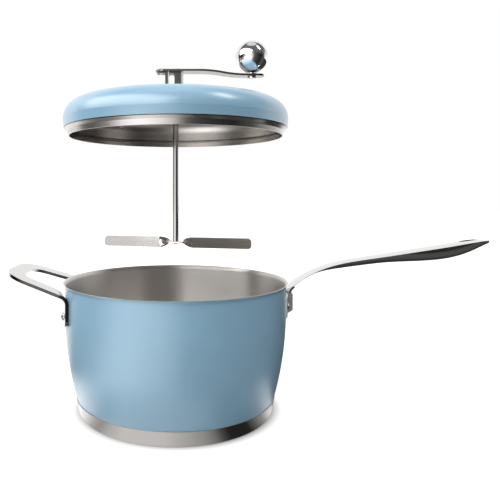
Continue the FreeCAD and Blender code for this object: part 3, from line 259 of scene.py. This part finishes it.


def paint_shader(graph, position):
    """Glossy enamel with faint unevenness."""
    cloud = graph.noise(position, *PAINT_CLOUD)
    peel = graph.noise(position, *ORANGE_PEEL)
    colour = graph.blend(graph.step(cloud, 0.3, 0.7),
                         shade(PAINT, PAINT_DARK), shade(PAINT, PAINT_LIGHT))
    return graph.add("ShaderNodeBsdfPrincipled", Base_Color=colour,
                     Roughness=graph.between(cloud, *PAINT_ROUGH), IOR=1.5,
                     Coat_Weight=1.0, Coat_IOR=1.8, Coat_Roughness=0.28,
                     Normal=graph.bump(peel, *PEEL_BUMP)).outputs[0]


def turned_steel_shader(graph, position, rough=TURNED_ROUGH, anisotropy=0.7, tone=STEEL):
    """Steel brushed round the vertical axis."""
    radius = graph.vector("LENGTH", level_part(graph, position))
    across = graph.add("ShaderNodeCombineXYZ", X=radius, Y=graph.split(position)["Z"]).outputs[0]
    streaks = graph.noise(across, *TURNING)
    cloud = graph.noise(position, *TURNED_CLOUD)
    tangent = graph.add("ShaderNodeTangent", {"direction_type": "RADIAL", "axis": "Z"}).outputs[0]
    return graph.add("ShaderNodeBsdfPrincipled", Metallic=1.0,
                     Base_Color=graph.blend(streaks, shade(tone, TURNED_DARK), tone),
                     Roughness=graph.between(graph.math("MULTIPLY", streaks, cloud), *rough),
                     Anisotropic=anisotropy, Anisotropic_Rotation=QUARTER_TURN, Tangent=tangent,
                     Normal=graph.bump(streaks, *TURNING_BUMP)).outputs[0]


def pan_finish():
    """Paint on the pan's outside above the base cap, bare turned steel inside."""
    material, graph = new_material("pan_finish")
    position = place(graph)
    outside = graph.step(facing_out(graph, position), *OUTWARD)
    above = graph.step(graph.split(position)["Z"], CAP_TOP - PAINT_EDGE, CAP_TOP + PAINT_EDGE)
    # painted light: the inside takes the lighter inner steel tone
    inside = turned_steel_shader(graph, position, INNER_ROUGH, 1.0, LIT_INNER)
    finish_material(graph, graph.layer(graph.math("MULTIPLY", outside, above),
                                       inside, paint_shader(graph, position)))
    return material


def lid_finish():
    """Paint down to the ledge, bare turned steel on the skirt and inside, a line of painted shade
    between.
    """
    material, graph = new_material("lid_finish")
    position = place(graph)
    edge = LID_BOTTOM + LEDGE_ABOVE_SKIRT
    height = graph.split(position)["Z"]
    outwards = facing_out(graph, position)
    up = graph.split(normal(graph))["Z"]
    outside = graph.step(graph.math("ADD", outwards, up), *OUTWARD)
    above = graph.step(height, edge - PAINT_EDGE, edge + PAINT_EDGE)
    # painted light: the lid's inside takes the lighter inner tone, the skirt's outside the plain
    # steel tone
    bare = graph.layer(graph.step(outwards, *SKIRT_OUTWARD),
                       turned_steel_shader(graph, position, tone=LIT_INNER),
                       turned_steel_shader(graph, position))
    # painted shade: a dark line in the edge tone just below the paint's lower edge
    steel = graph.layer(graph.band(height, edge - SHADE_LINE, edge, SHADE_LINE_SOFT),
                        bare, turned_steel_shader(graph, position, tone=PAINTED_SHADE))
    finish_material(graph, graph.layer(graph.math("MULTIPLY", outside, above),
                                       steel, paint_shader(graph, position)))
    return material


def turned_steel(name):
    """Bare steel brushed round the vertical axis."""
    material, graph = new_material(name)
    finish_material(graph, turned_steel_shader(graph, place(graph)))
    return material


def streaked_steel(name, tone, rough, streak_scale, edge=None):
    """Steel with streaks, long where streak_scale is small.

    With an edge tone, the faces that look along Y take it as painted shade.
    """
    material, graph = new_material(name)
    position = place(graph)
    streaks = graph.noise(stretched(graph, position, streak_scale), *STREAKS)
    cloud = graph.noise(position, *STREAK_CLOUD)
    colour = graph.blend(streaks, shade(tone, STREAK_DARK), tone)
    if edge is not None:
        # painted shade: faces that look along Y take the dark edge tone
        sideways = graph.math("ABSOLUTE", graph.split(normal(graph))["Y"])
        colour = graph.blend(graph.step(sideways, *SHADED_FACE), colour, edge)
    shader = graph.add("ShaderNodeBsdfPrincipled", Base_Color=colour, Metallic=1.0,
                       Roughness=graph.between(graph.math("MULTIPLY", streaks, cloud), *rough),
                       Normal=graph.bump(streaks, *STREAK_BUMP))
    finish_material(graph, shader.outputs[0])
    return material


def cast_steel():
    """Dark cast steel, with highlights painted in the polished tone along the upright edges of the
    hub's front.
    """
    material, graph = new_material("cast_steel")
    position = place(graph)
    hub_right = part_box("crank_hub")[1].x
    across = graph.split(position)["X"]
    # painted highlights: two upright stripes of the polished tone on the dark cast tone, placed by X
    corner_highlight = graph.step(across, hub_right - HUB_CORNER_HIGHLIGHT[0], hub_right - HUB_CORNER_HIGHLIGHT[1])
    leg_edge = hub_right - HUB_LEG_EDGE
    inner_highlight = graph.band(across, leg_edge, leg_edge + HUB_HIGHLIGHT_WIDTH, HUB_HIGHLIGHT_SOFT)
    grain = graph.noise(stretched(graph, position, UPRIGHT_GRAIN), *STREAKS)
    cast = graph.blend(grain, shade(CAST, CAST_DARK), CAST)
    shader = graph.add("ShaderNodeBsdfPrincipled", Metallic=1.0,
                       Base_Color=graph.blend(graph.math("MAXIMUM", corner_highlight, inner_highlight), cast, POLISHED),
                       Roughness=graph.between(grain, *CAST_ROUGH),
                       Normal=graph.bump(grain, *CAST_BUMP))
    finish_material(graph, shader.outputs[0])
    return material


def chrome():
    """Mirror chrome with a breath of haze."""
    material, graph = new_material("chrome")
    haze = graph.noise(place(graph), *HAZE)
    shader = graph.add("ShaderNodeBsdfPrincipled", Metallic=1.0,
                       Base_Color=graph.blend(haze, shade(CHROME, CHROME_DARK), CHROME),
                       Roughness=graph.between(haze, *CHROME_ROUGH))
    finish_material(graph, shader.outputs[0])
    return material


def dress():
    """Give every node its finish."""
    along, upright, even = (1, 14, 14), (14, 14, 1), (4, 4, 4)
    finishes = {
        pan_finish(): ["pot_shell"],
        lid_finish(): ["lid_shell"],
        turned_steel("base_steel"): ["base_cap", "base_core"],
        # the strap's faces that look along Y get painted shade
        streaked_steel("strap_steel", SATIN, (0.16, 0.28), along, PAINTED_SHADE): ["helper_handle"],
        streaked_steel("bracket_steel", BRIGHT, (0.42, 0.56), upright): ["handle_bracket"],
        streaked_steel("blade_steel", STEEL, (0.10, 0.20), along): ["stirrer_blade"],
        streaked_steel("polished_steel", BRIGHT, (0.08, 0.16), along): ["long_handle"],
        # the arm's faces that look along Y get painted shade, at 0.45 of its tone
        streaked_steel("arm_steel", ARM, (0.12, 0.22), along, shade(ARM, 0.45)): ["crank_arm"],
        cast_steel(): ["crank_hub"],
        streaked_steel("rod_steel", STEEL, (0.14, 0.24), upright): ["crank_shaft"],
        streaked_steel("fastener_steel", POLISHED, (0.12, 0.24), even):
            ["helper_rivets", "bracket_rivets", "handle_pin", "lid_bush", "bush_washer",
             "bush_nut", "hub_pin", "arm_rivets", "thrust_washer", "retaining_clip",
             "blade_rivet", "knob_washer", "knob_screw"],
        chrome(): ["knob_ball"],
    }
    for material, names in finishes.items():
        for name in names:
            node = NODES[name]
            node.data.materials.clear()
            node.data.materials.append(material)


# ---------------------------------------------------------------- stage and light

# Rings of levels by azimuth, as pairs of degrees and level. The first is what polished metal sees
# round the front: a wide soft screen on the left and a dark room on the right.
SCREEN_RING = [(-180, 1.1), (-124, 1.1), (-110, 0.2), (-104, 0.08), (-90, 0.03), (-80, 0.03),
               (-70, 0.07), (-60, 0.38), (-51, 0.95), (-42, 1.35), (-34, 1.45), (-17, 1.15),
               (-9, 1.02), (-1, 0.7), (6, 0.26), (14, 0.11), (30, 0.05), (60, 0.01),
               (74, 0.05), (84, 0.12), (92, 0.7), (100, 1.15)]
# what it sees of the floor, dark behind the popper on the right
FLOOR_RING = [(-180, 1.25), (-124, 1.25), (-110, 0.3), (-90, 0.15), (-70, 0.4), (-60, 1.1),
              (-51, 1.6), (-34, 1.9), (-17, 1.5), (-9, 1.2), (-1, 0.9), (6, 0.28), (14, 0.11),
              (30, 0.05), (60, 0.02), (72, 0.08), (88, 0.08), (98, 0.04), (136, 0.04), (149, 1.1)]
# the same close to the pan
NEAR_RING = [(-180, 0.7), (-115, 0.8), (-80, 1.5), (-66, 1.2), (-54, 0.62), (-48, 0.50),
             (-40, 0.75), (-30, 0.95), (-6, 0.90), (4, 0.70), (16, 0.48), (22, 0.30), (27, 0.10),
             (32, 0.02), (46, 0.02), (52, 0.14), (62, 0.40), (72, 0.95), (80, 0.95), (88, 0.05),
             (126, 0.05), (142, 0.7)]

FLOOR_SIDE = 12.0
FLOOR_GREY = 0.45
FLOOR_GRAIN = (40.0, 3.0, 0.55)         # noise, as above
FLOOR_LIGHT = 1.03                      # share of the grey that its lightest grain has
FLOOR_LIFT = 0.78                       # light added for the camera, so that the floor reads white
CONTACT_SHADOW_LIFT = 0.0                      # the same under the pan's edge, where it paints a shadow ring that deepens the real contact shadow
CONTACT_REACH = 0.009                   # how far the change lies to both sides of the foot's edge
FULL_WHITE = (0.18, 0.45)               # from the axis, where the lift grows to full white
NEAR_TO_FAR = (0.13, 0.19)              # from the axis, where the near ring gives way to the far

BACKDROP = (0.30, 0.42)                 # Y of a direction where the white backdrop begins
ABOVE_SCREEN = (0.08, 0.60)             # Z where the screen gives way to the dim room above
CEILING_RISE = (0.90, 0.97)             # Z where the ceiling begins
AMBIENT_RISE = (0.2, 1.0)               # Z over which the soft light grows
AMBIENT = (0.10, 1.05)                  # soft light from the side, and from straight above
HIGH_FRONT = 0.16                       # what polished metal sees above the screen
CEILING = 0.8                           # and straight above

# name, azimuth, elevation, distance, width and height, watts
LAMPS = [("key", -53, 40, 1.3, (2.20, 0.80), 17.0),
         ("strip", 62, 54, 1.3, (0.09, 0.40), 2.2)]


def make_floor():
    """Pale floor: white to the camera but for the popper's shadow and a painted shadow round its
    foot, a grey ring to reflections.
    """
    half = FLOOR_SIDE / 2
    corners = [(-half, -half, 0), (half, -half, 0), (half, half, 0), (-half, half, 0)]
    mesh = bpy.data.meshes.new("floor")
    mesh.from_pydata(corners, [], [(0, 1, 2, 3)])
    floor = bpy.data.objects.new("floor", mesh)
    bpy.context.scene.collection.objects.link(floor)
    material, graph = new_material("floor")
    position = place(graph)
    path = graph.add("ShaderNodeLightPath").outputs
    distance = graph.vector("LENGTH", level_part(graph, position))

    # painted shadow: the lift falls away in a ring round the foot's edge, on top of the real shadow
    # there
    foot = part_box("base_cap")[1].x
    clear = graph.step(distance, foot - CONTACT_REACH, foot + CONTACT_REACH)
    lift = graph.between(graph.step(distance, *FULL_WHITE),
                         graph.between(clear, CONTACT_SHADOW_LIFT, FLOOR_LIFT), 1.0)
    lifted = graph.add("ShaderNodeEmission", Color=(1, 1, 1, 1),
                       Strength=graph.math("MULTIPLY", path["Is Camera Ray"], lift))
    greys = (FLOOR_GREY,) * 3
    grey = graph.blend(graph.noise(position, *FLOOR_GRAIN),
                       shade(greys, 1), shade(greys, FLOOR_LIGHT))
    matt = graph.add("ShaderNodeBsdfDiffuse", Color=grey)
    lit = graph.add("ShaderNodeAddShader", n0=matt.outputs[0], n1=lifted.outputs[0])

    rings = graph.blend(graph.step(distance, *NEAR_TO_FAR),
                        graph.ring(position, NEAR_RING), graph.ring(position, FLOOR_RING))
    mirrored = graph.add("ShaderNodeEmission", Color=rings)
    finish_material(graph, graph.layer(path["Is Glossy Ray"], lit.outputs[0], mirrored.outputs[0]))
    mesh.materials.append(material)


def make_world():
    """White to the camera and behind the popper, a soft screen and dark room to polished metal."""
    world = bpy.data.worlds.new("studio")
    bpy.context.scene.world = world
    world.use_nodes = True
    graph = Graph(world.node_tree)
    path = graph.add("ShaderNodeLightPath").outputs
    direction = graph.add("ShaderNodeTexCoord").outputs["Generated"]
    parts = graph.split(direction)
    overhead = graph.step(parts["Z"], *ABOVE_SCREEN)
    low_front = graph.math("MULTIPLY", graph.ring(direction, SCREEN_RING),
                           graph.math("SUBTRACT", 1.0, overhead))
    front = graph.math("ADD", low_front, graph.between(overhead, 0.0, HIGH_FRONT))
    behind = graph.step(parts["Y"], *BACKDROP)
    ceiling = graph.math("MULTIPLY", graph.step(parts["Z"], *CEILING_RISE), CEILING)
    mirrored = graph.math("MAXIMUM", graph.math("MAXIMUM", behind, front), ceiling)
    ambient = graph.between(graph.step(parts["Z"], *AMBIENT_RISE), *AMBIENT)
    level = graph.add("ShaderNodeMix", n0=path["Is Glossy Ray"], n2=ambient, n3=mirrored).outputs[0]
    sky = graph.add("ShaderNodeBackground", Color=(1, 1, 1, 1),
                    Strength=graph.math("MAXIMUM", path["Is Camera Ray"], level))
    graph.add("ShaderNodeOutputWorld", Surface=sky.outputs[0])


def area_light(name, azimuth, elevation, distance, size, power):
    """A rectangular lamp that faces the middle of the rim.

    Its azimuth is in degrees round from the camera's side, its elevation in degrees up.
    """
    data = bpy.data.lights.new(name, "AREA")
    data.shape = "RECTANGLE"
    data.size, data.size_y, data.energy = size[0], size[1], power
    around, up = math.radians(azimuth), math.radians(elevation)
    reach = Vector((math.cos(up) * math.sin(around), -math.cos(up) * math.cos(around), math.sin(up)))
    lamp = bpy.data.objects.new(name, data)
    lamp.location = Vector((0, 0, RIM_HEIGHT)) + distance * reach
    lamp.rotation_euler = reach.to_track_quat("Z", "Y").to_euler()
    bpy.context.scene.collection.objects.link(lamp)


make_camera()
dress()
make_floor()
make_world()
for lamp in LAMPS:
    area_light(*lamp)
bpy.context.scene.view_settings.view_transform = "Standard"
